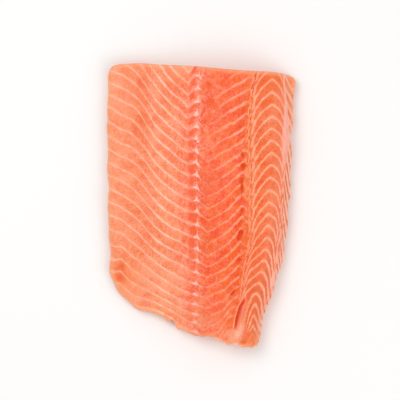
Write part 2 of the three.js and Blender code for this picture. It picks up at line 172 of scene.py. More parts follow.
# Soft patches on the cut surface: (place across X, place along Y, half width, half length, strength)
PATCHES = {"blush": [
    (-71.6, -55, 4.4, 4.4, 0.8), (-73.2, -64.5, 5, 4.8, 0.9), (-47, -80.8, 4.5, 2.4, 0.5),
    (-50, -88.5, 4, 1.8, 0.5), (-55, 111.5, 3, 6, 0.6), (-54, 76, 3, 5, 0.6), (-59, 66.5, 3, 4.5, 0.4),
    (-29.3, 106, 3.2, 4, 0.4), (-31.5, 93, 3, 5, 0.5), (-47, 94, 3, 5, 0.4), (48, -101.5, 5, 6, 0.25),
    (3, 90, 9, 12, 0.4), (-5, 38, 8, 8, 0.2), (-5, 8, 7, 9, 0.25), (13, 92, 12, 18, 0.32),
    (-17, 108, 8, 9, 0.25), (5, 24, 7, 8, 0.55), (5, -102, 20, 6, 0.5), (28, -81, 10, 14, 0.4),
    (39, -43, 7, 12, 0.35), (15, 70, 7, 12, 0.25), (-2, -38, 14, 9, 0.3), (68, 112, 9, 7, 0.38),
    (42.5, 92, 4.5, 34, 0.32), (-31, -99.5, 5, 2, 0.4), (53, 113, 10, 8, 0.45), (50, -48, 5, 16, 0.35),
    (40, -62, 3, 12, 0.5), (12, 24, 5, 4, 0.6), (8, -30, 5, 8, 0.4), (20, -48, 6, 6, 0.3),
    (20, 84, 6, 5, 0.3), (4, 8, 14, 30, 0.2), (34, -32, 11, 10, 0.28), (31, -76, 9, 13, 0.46),
    (46, -34, 9, 10, 0.45), (-2, -33, 13, 11, 0.5), (-22, 109, 8, 9, 0.32), (0, 24, 13, 9, 0.58),
    (-60, 102, 8, 9, 0.3), (-8, -39, 6, 7, 0.25), (0, 19, 9, 22, 0.12), (-2, -36, 8, 8, 0.12),
    (-39, -89, 6, 6, 0.1), (-6, 27, 5, 11, 0.25), (-57, 76, 9, 18, 0.15), (69, 69, 5, 10, 0.15),
    (34, -52, 9, 13, 0.3),
], "pallor": [
    (65.3, -65.8, 1.7, 7.5, 0.9), (36.5, -109, 3.2, 5.5, 0.8), (33.5, -115.5, 4, 5.5, 0.8),
    (28, -120.5, 6, 3.5, 0.6), (13, -120.2, 3.6, 1.8, 0.9), (19, -123.6, 3.6, 1.9, 0.9),
    (25.5, -126.6, 4, 2, 0.9), (33, -127.5, 5, 2, 0.8), (27, -115, 11, 5, 0.55),
    (-2.2, 97, 1.2, 5, 0.6), (4, -107, 18, 9, 0.42), (0, -82, 10, 18, 0.33), (-16, -90, 7, 7, 0.5),
    (-60, -88, 9, 6, 0.45), (-48, -91, 7, 5, 0.2), (57, 72, 8, 16, 0.25), (-48, 92, 5, 22, 0.14),
    (37, 45, 4, 38, 0.17), (69, -26, 4, 15, 0.32),
], "ochre": [
    (26, -92, 5.5, 13, 0.75), (32, -80, 3, 8, 0.4), (45, -121, 7, 6, 0.9), (71, 113, 11, 7, 0.85),
    (-70, -66, 12, 14, 0.7), (18, -118, 13, 5, 0.65), (-20, 112, 13, 6, 0.7), (0, -101, 20, 7, 0.6),
    (-83, 75, 5, 30, 0.3), (26, 38, 9, 22, 0.22), (80, 88, 5, 8, 0.8), (-2, -33, 13, 11, 0.25),
    (48, -101.5, 5, 6, 0.3), (-50, -90, 14, 8, 0.2), (-28, -101, 10, 5, 0.4), (30, -60, 10, 10, 0.2),
    (8, 112, 9, 7, 0.35), (-25, -108, 4, 4, 0.5), (48, -40, 6, 14, 0.2),
]}

# Rounding of the rim: how far in from each edge it starts, and how far it falls
BELLY_RIM = {"reach": 4.5, "fall": 5.5}
BACK_RIM = {"reach": 3, "fall": 4}
CUT_RIM = {"reach": 2, "fall": 1.5}
COLLAR_RIM = {"reach": 3, "fall": 3.5}
WALL_TUCK = 1.8
HALF_WIDTH = 84.6
HALF_LENGTH = 128.2
MEAN_THICKNESS = 24
TUCK_FROM = 0.6
SEAM_INSET = 2

# Fineness of the mesh: strips across each stretch, strips along each stretch, and rings down the wall
RIM_STRIPS = 8
BELLY_STRIPS = 108
LOIN_STRIPS = 58
PIN_STRIPS = 6
LIP_STRIPS = 3
BANK_STRIPS = 9
CHEVRON_STRIPS = 22
BAND_STRIPS = 16
FRINGE_STRIPS = 8
LENGTH_STRIPS = 328
CUT_RIM_STRIPS = 6
WALL_RINGS = 8
UNDERSIDE_STRIDE = 6

# Across and along depend on each other, so the vertices settle from a first guess in many part steps
FIRST_GUESS = (-110, 120)
SETTLING_ROUNDS = 40
SETTLING_STEP = 0.7


def smooth_course(stations):
    """A smooth curve through (place, value) stations that never overshoots them."""
    places, values = np.array(sorted(stations), float).T
    steps = np.diff(places)
    rises = np.diff(values) / steps
    slopes = np.zeros(len(places))
    before, after = rises[:-1], rises[1:]
    turning = before * after <= 0
    safe_before = np.where(turning, 1, before)
    safe_after = np.where(turning, 1, after)
    slopes[1:-1] = np.where(turning, 0, 2 / (1 / safe_before + 1 / safe_after))
    slopes[0], slopes[-1] = rises[0], rises[-1]

    def at(place):
        place = np.clip(place, places[0], places[-1])
        i = np.clip(np.searchsorted(places, place, side="right") - 1, 0, len(places) - 2)
        t = (place - places[i]) / steps[i]
        u = 1 - t
        ends = values[i] * u * u * (1 + 2 * t) + values[i + 1] * t * t * (3 - 2 * t)
        return ends + steps[i] * t * u * (slopes[i] * u - slopes[i + 1] * t)

    return at


def soft_noise(x, y, size, seed):
    """Smooth seeded noise from -1 to 1, with bumps about size across."""
    grid = np.random.default_rng(seed).uniform(-1, 1, (64, 64))
    column, row = np.floor(x / size).astype(int), np.floor(y / size).astype(int)
    s, t = x / size - column, y / size - row
    s, t = s * s * (3 - 2 * s), t * t * (3 - 2 * t)
    low = grid[column % 64, row % 64] * (1 - s) + grid[(column + 1) % 64, row % 64] * s
    high = grid[column % 64, (row + 1) % 64] * (1 - s) + grid[(column + 1) % 64, (row + 1) % 64] * s
    return low * (1 - t) + high * t


def bell(distance, width):
    return np.exp(-((distance / width) ** 2))


def ease(value, low, high):
    t = np.clip((value - low) / (high - low), 0, 1)
    return t * t * (3 - 2 * t)


def within(value, start, full, full_until, end):
    return ease(value, start, full) * (1 - ease(value, full_until, end))


belly_edge_course = smooth_course(BELLY_EDGE)
midline = smooth_course(MIDLINE)
slit_line = smooth_course(SLIT_LINE)
first_line_reach = smooth_course(FIRST_LINE_REACH)
pin_bone_line = smooth_course(PIN_BONE_LINE)
dorsal_seam = smooth_course(DORSAL_SEAM)
chevron_tips = smooth_course(CHEVRON_TIPS)
fat_band = smooth_course(FAT_BAND)
fat_band_half_width = smooth_course(FAT_BAND_HALF_WIDTH)
back_edge_course = smooth_course(BACK_EDGE)
cut_end_course = smooth_course(CUT_END)
collar_end_course = smooth_course(COLLAR_END)


def belly_edge(y):
    return belly_edge_course(y) + 0.3 * soft_noise(y, y * 0, 8, 21)


def back_edge(y):
    """The edge along the back is scalloped and ragged, less so towards the collar."""
    ragged = 0.4 * soft_noise(y, y * 0, 6.5, 22) + 0.3 * soft_noise(y, y * 0, 2.6, 26)
    form = BACK_SCALLOPS
    wave = np.cos(2 * math.pi * (y - form["crest"]) / form["length"])
    started = np.clip((form["start"] - y) / (form["start"] - form["full"]), 0, 1)
    sunk = np.clip(1 + (y - form["sink_from"]) / form["sink_length"], form["least"], 1)
    scallops = (form["set_out"] + form["height"] * wave) * started * sunk
    return back_edge_course(y) + scallops + ragged * (0.4 + 0.6 * ease(y, -75, -45))


def cut_end(x):
    return cut_end_course(x) + 0.15 * soft_noise(x, x * 0, 7, 23)


def collar_end(x):
    """The torn end: small tatters everywhere, longer ones where the loin thins out."""
    tatters = 0.4 * soft_noise(x, x * 0, 5, 24) + 0.4 * soft_noise(x, x * 0, 2.2, 25)
    frayed = bell(x - 22, 12)
    return collar_end_course(x) + tatters * (1 + 1.3 * frayed)


def thickness_at(place, y):
    """Thickness, blended from the cut end through the middle to the collar end."""
    middle = THICKNESS_COURSES[1](place)
    towards_cut = (THICKNESS_COURSES[0](place) - middle) * np.clip(y / CUT_STATION, 0, 1)
    towards_collar = (THICKNESS_COURSES[2](place) - middle) * np.clip(y / COLLAR_STATION, 0, 1)
    return middle + towards_cut + towards_collar


THICKNESS_COURSES = [smooth_course([(row[0], row[k]) for row in THICKNESS]) for k in (1, 2, 3)]


def place_across(x, y):
    """Place across the fillet, counted in landmarks."""
    middle, band = midline(y), fat_band(y)
    marks = [middle - BELLY_REACH, middle, pin_bone_line(y), dorsal_seam(y), chevron_tips(y), band,
             band + FRINGE_WIDTH]
    place = np.zeros(np.broadcast(x, y).shape)
    for low, high in zip(marks, marks[1:]):
        place = place + np.clip((x - low) / (high - low), 0, 1)
    return place


SHIFT_PLACES = np.array([row[0] for row in SHEET_SHIFT])
SHIFT_VALUES = np.array([row[:0:-1] for row in SHEET_SHIFT])
SHIFT_ALONG = np.array(SHIFT_STATIONS[::-1], float)


def steps_between(values, nodes):
    """The node below each value, and the share of the way to the next."""
    values = np.clip(values, nodes[0], nodes[-1])
    below = np.clip(np.searchsorted(nodes, values, side="right") - 1, 0, len(nodes) - 2)
    return below, (values - nodes[below]) / (nodes[below + 1] - nodes[below])


def sheet_shift(x, y):
    """Shift of the sheets, averaged over a little of the width so that they bend softly."""
    j, u = steps_between(y, SHIFT_ALONG)
    total = 0
    for aside in (-BEND_REACH, 0, BEND_REACH):
        i, t = steps_between(place_across(x + aside, y), SHIFT_PLACES)
        low = SHIFT_VALUES[i, j] * (1 - t) + SHIFT_VALUES[i + 1, j] * t
        high = SHIFT_VALUES[i, j + 1] * (1 - t) + SHIFT_VALUES[i + 1, j + 1] * t
        total = total + low * (1 - u) + high * u
    return total / 3


def sheet_count(x, y):
    """Number of fat sheets passed from the cut end: a whole number on each sheet."""
    run = FIRST_SHEET - (y - sheet_shift(x, y))
    beyond = np.clip(run - CLOSING_FROM, 0, None) / SHEET_PITCH
    return np.minimum(run, CLOSING_FROM) / SHEET_PITCH - np.log(1 - CLOSING_RATE * beyond) / CLOSING_RATE


def wavering_count(x, y):
    """The sheets waver as they do in real flesh, most of all in the loin."""
    place = place_across(x, y)
    loin = within(place, 0.75, 1.1, 2.2, 3.2)
    slow = 0.5 * soft_noise(x, y, 11, 31)
    quick = 0.32 * soft_noise(x, y, 4.2, 32) + 0.2 * soft_noise(x, y, 2.2, 33)
    return sheet_count(x, y) + (slow * (0.7 + 0.6 * loin) + quick * (0.35 + 1.3 * loin)) / SHEET_PITCH


def flake_relief(count):
    """Each flake rises towards the next sheet and steps down behind it."""
    share = count - np.floor(count)
    return FLAKE_STEP * (ease(share, 0.1, 0.95) - ease(share, 0.965, 1) - 0.5)


def swell_relief(x, y):
    turns = 2 * math.pi / SWELL_LENGTH
    slow = np.sin(turns * (x + 0.4 * y)) + np.sin(turns * (0.8 * y - 0.5 * x) + 1.3)
    return SWELL * slow + 0.22 * soft_noise(x, y, 13, 41) + 0.1 * soft_noise(x, y, 5, 42)


def pin_hole_depth(x, y):
    depth = np.zeros(x.shape)
    for along, aside, half_length, half_width, deep, slant in PIN_HOLES:
        dy = y - along
        dx = x - pin_bone_line(y) - aside - slant * dy
        depth += deep * bell(dx, half_width) * bell(dy, half_length)
    return depth


def patches(x, y, spots):
    bare = np.ones(x.shape)
    for across, along, half_width, half_length, strength in spots:
        bare = bare * (1 - strength * bell(x - across, half_width) * bell(y - along, half_length))
    return 1 - bare


def pin_groove_depth(x, y):
    start, end, fade = PIN_GROOVE["from"], PIN_GROOVE["to"], PIN_GROOVE["fade"]
    open_share = within(y, start, start + fade, end - fade, end)
    return PIN_GROOVE["depth"] * bell(x - pin_bone_line(y), PIN_GROOVE["width"]) * open_share


def slit_depth(x, y):
    """The open slit beside the seam: steep towards the belly, sloping towards the back."""
    along = np.clip((y - SLIT["from"]) / (SLIT["to"] - SLIT["from"]), 0, 1)
    aside = x - slit_line(y)
    floor = SLIT["floor"] * np.sin(math.pi * along)
    steep = np.clip(1 + aside / SLIT["steep_side"], 0, 1)
    sloping = np.clip((SLIT["sloping_side"] - aside) / (SLIT["sloping_side"] - floor), 0, 1)
    return SLIT["depth"] * np.sin(math.pi * along) ** 0.7 * steep * sloping ** 1.7


def rim_fall(rim, distance):
    share = 1 - np.clip(distance / rim["reach"], 0, 1)
    return rim["fall"] * (1 - np.sqrt(1 - share * share))


def surface_height(x, y, count):
    height = thickness_at(place_across(x, y), y) + swell_relief(x, y) + flake_relief(count)
    height = height - pin_groove_depth(x, y) - pin_hole_depth(x, y) - slit_depth(x, y)
    height = height - rim_fall(BELLY_RIM, x - belly_edge(y)) - rim_fall(BACK_RIM, back_edge(y) - x)
    return height - rim_fall(CUT_RIM, cut_end(x) - y) - rim_fall(COLLAR_RIM, y - collar_end(x))


def rim_shares(strips):
    """Steps that are fine at the edge, where the rim falls fastest."""
    return 1 - np.cos(np.linspace(0, math.pi / 2, strips + 1))


def beside(line, aside):
    return lambda y: line(y) + aside


def stretches_across():
    """Stretches between lengthwise lines, each with the shares at which its columns lie."""
    belly_rim = beside(belly_edge, BELLY_RIM["reach"])
    slit_lip = beside(slit_line, -SLIT["steep_side"])
    slit_bank = beside(slit_line, SLIT["sloping_side"])
    back_rim = beside(back_edge, -BACK_RIM["reach"])

    def band_inside(y):
        return np.minimum(fat_band(y), back_rim(y) - 1)

    def even(strips):
        return np.linspace(0, 1, strips + 1)[1:]

    return [
        (belly_edge, belly_rim, rim_shares(RIM_STRIPS)),
        (belly_rim, midline, even(BELLY_STRIPS)),
        (midline, pin_bone_line, even(LOIN_STRIPS)),
        (pin_bone_line, slit_lip, even(PIN_STRIPS)),
        (slit_lip, slit_line, even(LIP_STRIPS)),
        (slit_line, slit_bank, even(BANK_STRIPS)),
        (slit_bank, chevron_tips, even(CHEVRON_STRIPS)),
        (chevron_tips, band_inside, even(BAND_STRIPS)),
        (band_inside, back_rim, even(FRINGE_STRIPS)),
        (back_rim, back_edge, 1 - rim_shares(RIM_STRIPS)[::-1][1:]),
    ]


def rows_along():
    """For each row, its share of the length and how far it is set in from the end it is nearest."""
    low = rim_shares(RIM_STRIPS) * COLLAR_RIM["reach"]
    high = rim_shares(CUT_RIM_STRIPS)[::-1] * -CUT_RIM["reach"]
    share = np.linspace(0, 1, LENGTH_STRIPS + 1)[1:-1]
    between = low[-1] * (1 - share) + high[0] * share
    shares = np.concatenate([low * 0, share, high * 0 + 1])
    return shares, np.concatenate([low, between, high])


def top_places():
    """X and Y of every vertex of the cut surface, one row of the arrays for each column."""
    shares, insets = rows_along()
    guess = FIRST_GUESS[0] * (1 - shares) + FIRST_GUESS[1] * shares
    blocks = []
    for left, right, steps in stretches_across():
        y = np.tile(guess, (len(steps), 1))
        step = steps[:, None]
        for _ in range(SETTLING_ROUNDS):
            x = left(y) * (1 - step) + right(y) * step
            wanted = collar_end(x) * (1 - shares) + cut_end(x) * shares + insets
            y = y + SETTLING_STEP * (wanted - y)
        blocks.append((left(y) * (1 - step) + right(y) * step, y))
    return np.vstack([b[0] for b in blocks]), np.vstack([b[1] for b in blocks])


def edge_numbers(columns, rows):
    """Vertex numbers round the cut surface, clockwise seen from above."""
    number = np.arange(columns * rows).reshape(columns, rows)
    return np.concatenate([number[0], number[1:, -1], number[-1, -2::-1], number[-2:0:-1, 0]])


def strip_faces(upper, lower):
    """Faces of one ring of wall between two closed loops of vertices."""
    return np.stack([upper, np.roll(upper, -1), np.roll(lower, -1), lower], 1)


def underside_faces(columns, rows, ring, coarse):
    """Faces of the underside: a coarse grid whose outer cells take in every vertex of the last ring."""
    edge = edge_numbers(columns, rows)
    on_ring = dict(zip(edge.tolist(), ring.tolist()))
    faces = []
    for i in range(0, columns - 1, UNDERSIDE_STRIDE):
        for j in range(0, rows - 1, UNDERSIDE_STRIDE):
            i2, j2 = i + UNDERSIDE_STRIDE, j + UNDERSIDE_STRIDE
            path = [(i, k) for k in range(j, j2)] + [(k, j2) for k in range(i, i2)]
            path += [(i2, k) for k in range(j2, j, -1)] + [(k, j) for k in range(i2, i, -1)]
            face = []
            for a, b in path:
                number = a * rows + b
                if number in on_ring:
                    face.append(on_ring[number])
                elif (a, b) in coarse:
                    face.append(coarse[a, b])
            faces.append(face)
    return faces


def spacing_round_wall(rim, rim_counts):
    """Distance between neighbouring sheets on the wall, which they meet along the rim and lean down."""
    reach = 5
    along_rim = np.roll(rim, -reach, 0) - np.roll(rim, reach, 0)
    passed = np.roll(rim_counts, -reach) - np.roll(rim_counts, reach)
    return 1 / np.hypot(passed / np.hypot(along_rim[:, 0], along_rim[:, 1]), SHEET_LEAN)


def build_fillet_mesh():
    """Vertices, their sheet counts and the spacing of the sheets there, and faces."""
    x, y = top_places()
    columns, rows = x.shape
    count = wavering_count(x, y)
    z = surface_height(x, y, count)
    number = np.arange(columns * rows).reshape(columns, rows)
    top = np.stack([number[:-1, :-1], number[1:, :-1], number[1:, 1:], number[:-1, 1:]], -1)
    points = [np.stack([x, y, z], -1).reshape(-1, 3)]
    counts = [count.ravel()]
    spacings = [sheet_spacing(x, y).ravel()]
    faces = top.reshape(-1, 4).tolist()
    edge = edge_numbers(columns, rows)
    rim = points[0][edge]
    wall_spacing = spacing_round_wall(rim, counts[0][edge])
    upper = edge
    total = columns * rows
    for ring in range(1, WALL_RINGS + 1):
        down = ring / WALL_RINGS
        turned = np.clip((down - TUCK_FROM) / (1 - TUCK_FROM), 0, 1)
        tuck = WALL_TUCK * (1 - math.sqrt(1 - turned * turned))
        level = rim.copy()
        level[:, 0] *= 1 - tuck / HALF_WIDTH
        level[:, 1] *= 1 - tuck / HALF_LENGTH
        level[:, 2] *= 1 - down
        lower = np.arange(total, total + len(edge))
        total += len(edge)
        points.append(level)
        counts.append(counts[0][edge] + SHEET_LEAN * (rim[:, 2] - level[:, 2]))
        spacings.append(wall_spacing)
        faces += strip_faces(upper, lower).tolist()
        upper = lower
    inside = [(i, j) for i in range(UNDERSIDE_STRIDE, columns - 1, UNDERSIDE_STRIDE)
              for j in range(UNDERSIDE_STRIDE, rows - 1, UNDERSIDE_STRIDE)]
    i, j = np.array(inside).T
    inner_x = x[i, j] * (1 - WALL_TUCK / HALF_WIDTH)
    inner_y = y[i, j] * (1 - WALL_TUCK / HALF_LENGTH)
    points.append(np.stack([inner_x, inner_y, inner_x * 0], -1))
    counts.append(wavering_count(inner_x, inner_y) + SHEET_LEAN * MEAN_THICKNESS)
    spacings.append(sheet_spacing(inner_x, inner_y))
    coarse = {place: total + k for k, place in enumerate(inside)}
    faces += underside_faces(columns, rows, upper, coarse)
    return np.vstack(points), np.concatenate(counts), np.concatenate(spacings), faces


def sheet_spacing(x, y):
    """Distance between neighbouring sheets over the surface."""
    step = 0.3
    least = 1e-6
    gx = (sheet_count(x + step, y) - sheet_count(x - step, y)) / (2 * step)
    gy = (sheet_count(x, y + step) - sheet_count(x, y - step)) / (2 * step)
    return 1 / np.sqrt(gx * gx + gy * gy + least)


def low_belly_share(x, y):
    return (1 - ease(y, -70, -45)) * (1 - ease(x - midline(y), -14, -6))


def line_cover(x, y):
    """How clearly the fat lines show: faintly beside the midline, low on the belly and at the slit."""
    from_midline, from_lip = x - midline(y), x - slit_line(y)
    reach = first_line_reach(y)
    loin = np.maximum(ease(from_midline, reach - 3, reach + 3), 1 - ease(from_midline, 2, 4.5))
    bank = (1 - ease(y, -90, -84)) * within(from_lip, -7, -1, 7.5, 10)
    torn = (1 - ease(y, -108, -98)) * within(from_lip, -16, -8, 9, 13)
    last_tip = (1 - ease(y, -116, -109.5)) * ease(from_lip, 5, 8)
    cover = (0.1 + 0.9 * loin) * (1 - 0.9 * bank) * (1 - 0.7 * torn) * (1 - 0.8 * last_tip)
    cover = cover * (1 - 0.15 * low_belly_share(x, y)) * (1 - 0.6 * patches(x, y, PATCHES["blush"]))
    return cover * (1 - 0.5 * patches(x, y, PATCHES["pallor"]))


def edge_distance(x, y):
    """Distance in from the nearest edge of the outline."""
    return np.minimum.reduce([x - belly_edge(y), back_edge(y) - x, cut_end(x) - y, y - collar_end(x)])


def add_object(name, data):
    thing = bpy.data.objects.new(name, data)
    bpy.context.scene.collection.objects.link(thing)
    return thing


def make_fillet():
    points, counts, spacings, faces = build_fillet_mesh()
    x, y, z = points.T
    mesh = bpy.data.meshes.new("salmon_fillet_flesh")
    placed = (points - np.array([*OUTLINE_MIDDLE, 0])) * MM
    mesh.from_pydata(placed.tolist(), [], faces)
    mesh.polygons.foreach_set("use_smooth", [True] * len(mesh.polygons))
    mesh.update()
    mesh.validate()
    height = surface_height(x, y, counts)
    on_top = z > 0.98 * height
    fields = {
        "sheet_count": counts,
        "sheet_spacing": spacings,
        "seam_count": sheet_count(dorsal_seam(y) - SEAM_INSET, y),
        "place_across": place_across(x, y),
        "place_along": y,
        "from_midline": x - midline(y),
        "from_seam": x - dorsal_seam(y),
        "from_lip": x - slit_line(y),
        "from_back": back_edge_course(y) - x,
        "from_edge": np.clip(edge_distance(x, y), 0, None),
        "band_share": np.abs(x - fat_band(y)) / fat_band_half_width(y),
        "down_wall": ease(1 - z / height, 0.04, 0.4),
        "hole": pin_hole_depth(x, y) * on_top,
        "slit": slit_depth(x, y) * on_top,
        "line_cover": line_cover(x, y),
        "low_belly": low_belly_share(x, y),
        **{name: patches(x, y, spots) for name, spots in PATCHES.items()},
    }
    for name, values in fields.items():
        attribute = mesh.attributes.new(name, "FLOAT", "POINT")
        attribute.data.foreach_set("value", np.asarray(values, np.float32))
    return add_object("fillet", mesh)


# How bright the lights make a white surface, and how much the moist gloss adds everywhere
LIGHT_LEVEL = 1.1
SHEEN_LEVEL = 0.03


def colour(red, green, blue):
    """The surface colour that looks like this on screen, 0 to 255, under the lights of this scene."""
    def surface_level(level):
        level = level / 255
        light = level / 12.92 if level <= 0.04045 else ((level + 0.055) / 1.055) ** 2.4
        return max(light - SHEEN_LEVEL, 0) / LIGHT_LEVEL
    return (surface_level(red), surface_level(green), surface_level(blue), 1.0)


def math_method(operation, turned=False):
    """A method that adds a math node for a value and what it is combined with."""
    def method(*values):
        inputs = dict(enumerate(values[::-1] if turned else values))
        return values[0].shading.made("ShaderNodeMath", inputs, operation=operation)
    return method


class Value:
    """The output of a node. Arithmetic on it adds nodes to the same tree."""

    __add__ = math_method("ADD")
    __sub__ = math_method("SUBTRACT")
    __rsub__ = math_method("SUBTRACT", turned=True)
    __mul__ = math_method("MULTIPLY")
    __truediv__ = math_method("DIVIDE")
    __rtruediv__ = math_method("DIVIDE", turned=True)
    __abs__ = math_method("ABSOLUTE")
    or_less = math_method("MINIMUM")
    or_more = math_method("MAXIMUM")
    past_whole = math_method("FRACT")

    def __init__(self, shading, socket):
        self.shading = shading
        self.socket = socket

    def eases(self, low, high, start, end, easing="SMOOTHSTEP"):
        """From start, where this value is low, to end, where it is high."""
        names = ("Value", "From Min", "From Max", "To Min", "To Max")
        inputs = dict(zip(names, (self, low, high, start, end)))
        return self.shading.made("ShaderNodeMapRange", inputs, interpolation_type=easing)

    def slides(self, low, high, start=0, end=1):
        return self.eases(low, high, start, end, "LINEAR")

    def rises(self, low, high):
        return self.eases(low, high, 0, 1)

    def falls(self, low, high):
        return self.eases(low, high, 1, 0)

    def within(self, start, full, full_until, end):
        return self.rises(start, full) * self.falls(full_until, end)


class Shading:
    """Short ways to add and join the nodes of one material or node group."""

    def __init__(self, tree):
        self.tree = tree

    def feed(self, socket, value):
        """Joins a value to a socket, or sets it to a constant or to one of the named tones."""
        if isinstance(value, Value):
            self.tree.links.new(value.socket, socket)
        elif isinstance(value, str):
            socket.default_value = colour(*TONES[value])
        else:
            socket.default_value = value

    def add(self, kind, inputs, **settings):
        node = self.tree.nodes.new(kind)
        for name, setting in settings.items():
            setattr(node, name, setting)
        for name, value in inputs.items():
            self.feed(node.inputs[name], value)
        return node

    def made(self, kind, inputs, output=0, **settings):
        return Value(self, self.add(kind, inputs, **settings).outputs[output])

    def field(self, name):
        return self.made("ShaderNodeAttribute", {}, "Fac", attribute_name=name)

    def mix(self, share, first, second):
        return self.made("ShaderNodeMix", {0: share, 6: first, 7: second}, 2, data_type="RGBA")

    def places(self, stretch=(1, 1, 1), turn=0.0):
        """Object coordinates in millimetres, squeezed by stretch after a turn about Z."""
        inputs = {"Vector": self.made("ShaderNodeTexCoord", {}, "Object"), "Rotation": (0, 0, turn),
                  "Scale": (1 / MM, 1 / MM, 1 / MM)}
        turned = self.made("ShaderNodeMapping", inputs)
        return self.made("ShaderNodeMapping", {"Vector": turned, "Scale": stretch})

    def noise(self, size, detail=3.0, rough=0.6, warp=0.0, places=None, output="Fac"):
        inputs = {"Vector": self.places() if places is None else places, "Scale": 1 / size,
                  "Detail": detail, "Roughness": rough, "Distortion": warp}
        return self.made("ShaderNodeTexNoise", inputs, output)

    def group(self, tree, **inputs):
        """The outputs of a node group used in this tree."""
        inputs = {name.replace("_", " ").title(): value for name, value in inputs.items()}
        node = self.add("ShaderNodeGroup", inputs, node_tree=tree)
        return [Value(self, socket) for socket in node.outputs]


def new_group(name, inputs, outputs):
    """An empty node group: its inputs as (name, default), its outputs as names."""
    group = bpy.data.node_groups.new(name, "ShaderNodeTree")
    for label, default in inputs:
        socket = group.interface.new_socket(label, in_out="INPUT", socket_type="NodeSocketFloat")
        socket.default_value = default
    for label in outputs:
        group.interface.new_socket(label, in_out="OUTPUT", socket_type="NodeSocketFloat")
    shading = Shading(group)
    sockets = shading.add("NodeGroupInput", {}).outputs
    given = [Value(shading, sockets[label]) for label, _ in inputs]
    return shading, given, shading.add("NodeGroupOutput", {}).inputs


# Looks of the flesh across the fillet, by place across. Colours are as they look on screen, 0 to 255.
# From 5.15 to 6, towards the back edge, the muscle tones run brighter, with red above 255: partly the paler
# flesh there, partly painted light that makes up for the back's slope turning away from the lights.
DEEP_MUSCLE = [
    (0, (249, 136, 88)), (0.25, (249, 131, 84)), (0.4, (248, 122, 78)), (0.5, (249, 122, 76)),
    (0.62, (250, 124, 78)), (0.8, (250, 114, 70)), (0.88, (249, 104, 64)), (0.99, (248, 84, 40)),
    (1.1, (248, 78, 30)), (1.3, (249, 78, 26)), (1.7, (248, 78, 18)), (2, (246, 74, 10)),
    (2.3, (247, 102, 44)), (2.9, (246, 102, 46)), (3.2, (244, 96, 44)), (3.6, (246, 100, 54)),
    (4, (248, 112, 66)), (4.5, (250, 122, 82)), (4.85, (252, 130, 92)), (5.15, (260, 134, 88)),
    (6, (262, 140, 98)),
]
PALE_MUSCLE = [
    (0, (255, 170, 132)), (0.3, (255, 166, 128)), (0.45, (254, 164, 126)), (0.62, (255, 168, 126)),
    (0.85, (255, 158, 120)), (0.99, (253, 120, 68)), (1.3, (254, 126, 70)), (1.7, (254, 121, 61)),
    (2.1, (252, 117, 55)), (2.4, (252, 142, 88)), (2.9, (251, 146, 94)), (3.5, (250, 134, 86)),
    (4.5, (253, 148, 108)), (5.15, (260, 166, 124)), (6, (262, 170, 132)),
]
FAT = [
    (0, (260, 194, 164)), (0.4, (260, 194, 166)), (0.6, (260, 214, 190)), (0.85, (260, 202, 176)),
    (1, (260, 206, 184)), (1.2, (260, 168, 140)), (1.7, (260, 174, 142)), (2, (260, 176, 144)),
    (2.6, (260, 168, 132)), (3, (260, 178, 144)), (3.6, (259, 186, 152)), (4.2, (260, 186, 154)),
    (5, (262, 190, 166)), (6, (264, 200, 174)),
]
LINE_STRENGTH = [
    (0, 1), (0.3, 0.8), (0.42, 0.55), (0.55, 0.92), (0.72, 0.8), (0.86, 0.6), (0.91, 0.4),
    (1, 0.75), (1.08, 0.6), (1.35, 0.65), (1.8, 1), (2.05, 0.9), (2.3, 0.8),
    (2.85, 0.85), (2.95, 0.75), (3.03, 0.1), (3.09, 0.4), (3.15, 0.9), (3.35, 0.9), (4.1, 0.9),
    (4.7, 0.75), (5.1, 0.6), (5.3, 0.95), (6, 0.95),
]
LINE_HALF_WIDTH = [
    (0, 0.75), (0.45, 0.5), (0.6, 0.72), (0.8, 0.5), (0.88, 0.7), (0.94, 0.5), (1, 0.85),
    (1.1, 0.7), (1.3, 0.52), (2, 0.72), (2.9, 0.5), (3.06, 0.95), (3.17, 1.28), (3.31, 0.72),
    (4, 0.65), (4.6, 0.55), (5, 0.4), (5.3, 0.66), (6, 0.75),
]
GLOW_STRENGTH = [
    (0, 0.45), (0.45, 0.3), (0.6, 0.4), (0.88, 0.35), (1, 0.3), (1.3, 0.2), (2, 0.5),
    (3, 0.3), (4, 0.4), (5, 0.2), (6, 0.1),
]
MARBLE_STRENGTH = [
    (0, 0.05), (0.6, 0.12), (0.85, 0.3), (0.96, 0.25), (1.06, 0.4), (1.3, 0.38), (1.6, 0.35),
    (2.2, 0.25), (3, 0.2), (4, 0.1), (6, 0.05),
]

# Tones laid over the muscle, as they look on screen, 0 to 255
TONES = {
    "gap_tone_and_shade": (230, 110, 72), "deep_wall": (248, 116, 74), "pale_wall": (255, 158, 116),
    "ochre": (252, 136, 72), "blush": (244, 96, 38), "rim": (264, 182, 138), "fleck": (255, 162, 132),
    "crumb": (255, 172, 142), "under_tip": (254, 186, 148), "shoulder": (248, 170, 128),
    "rosy": (255, 172, 148), "cell": (249, 96, 54), "knot": (260, 208, 192), "thread": (260, 200, 178),
    "side_thread": (255, 190, 166), "strand": (255, 176, 138), "strand_gap": (238, 92, 44),
    "seam": (260, 180, 145), "seam_gap_shade": (234, 92, 48), "band": (262, 190, 174),
    "stringy_band": (260, 182, 156), "streak": (242, 128, 90), "shaded_slot": (232, 96, 44),
    "membrane": (255, 188, 160), "frill": (262, 210, 182), "low_hole": (240, 82, 0),
    "high_hole": (240, 92, 22), "ochre_hole": (242, 108, 14), "slit_bank": (255, 158, 134),
    "slit_floor": (246, 92, 48), "far_bank": (254, 166, 116),
}


